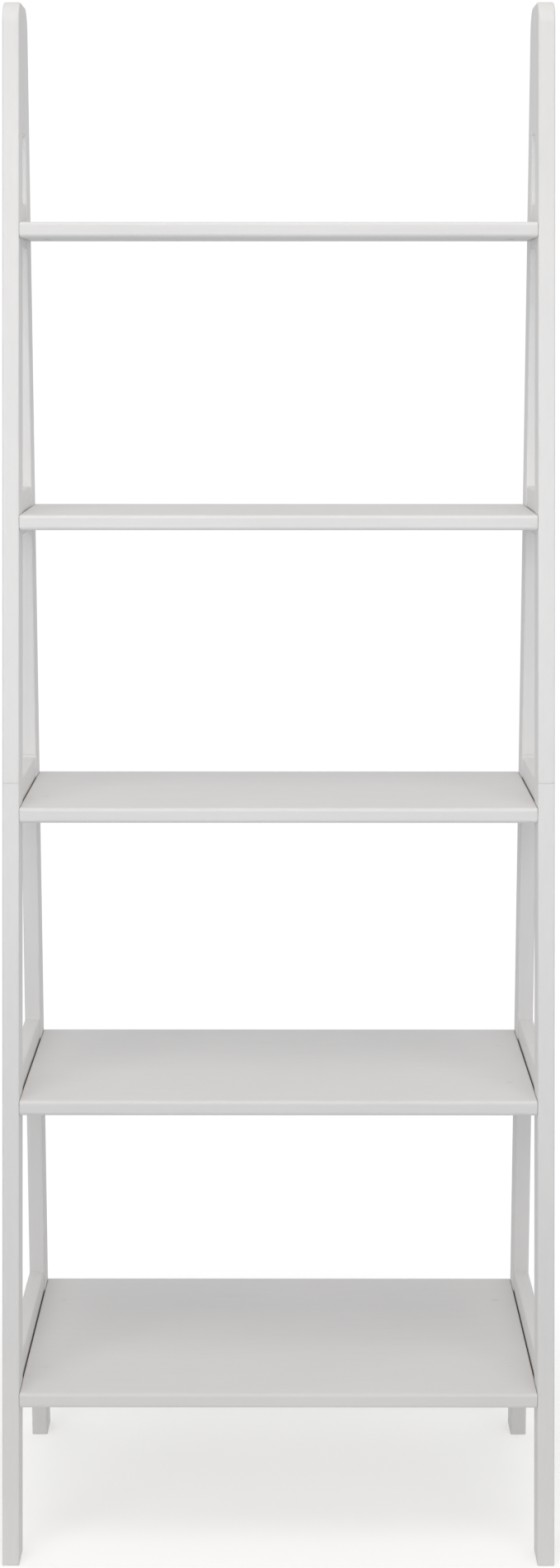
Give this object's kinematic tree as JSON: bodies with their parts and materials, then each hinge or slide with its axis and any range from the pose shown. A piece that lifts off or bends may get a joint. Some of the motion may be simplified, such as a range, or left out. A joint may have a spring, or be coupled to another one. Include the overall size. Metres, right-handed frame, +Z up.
{
  "type": "ladder shelf",
  "caption": "Tall free-standing ladder shelf: two leaning side frames with rounded tops join open shelves that get deeper towards the floor.",
  "frame": {"origin": "on the floor, midway between the feet from side to side and from front to back", "axes": "+X to the right as seen from the front, +Y to the back, +Z up"},
  "size_m": [0.653, 0.457, 1.829],
  "materials": {
    "painted_wood": "satin white paint over solid wood",
    "bare_wood": "unfinished beech",
    "zinc_steel": "bright zinc plate"
  },
  "bodies": {
    "root": {"left_front_leg_lower": "painted_wood", "left_front_leg_upper": "painted_wood", "left_rear_leg_lower": "painted_wood", "left_rear_leg_upper": "painted_wood", "left_top_block": "painted_wood", "left_rail_1": "painted_wood", "left_rail_2": "painted_wood", "left_rail_3": "painted_wood", "left_rail_4": "painted_wood", "left_rail_5": "painted_wood", "right_front_leg_lower": "painted_wood", "right_front_leg_upper": "painted_wood", "right_rear_leg_lower": "painted_wood", "right_rear_leg_upper": "painted_wood", "right_top_block": "painted_wood", "right_rail_1": "painted_wood", "right_rail_2": "painted_wood", "right_rail_3": "painted_wood", "right_rail_4": "painted_wood", "right_rail_5": "painted_wood", "shelf_1": "painted_wood", "shelf_2": "painted_wood", "shelf_3": "painted_wood", "shelf_4": "painted_wood", "shelf_5": "painted_wood", "shelf_bolts": "zinc_steel", "barrel_nuts": "zinc_steel", "leg_joint_pins": "zinc_steel", "rail_dowels": "bare_wood", "top_block_dowels": "bare_wood"}
  },
  "joints": []
}
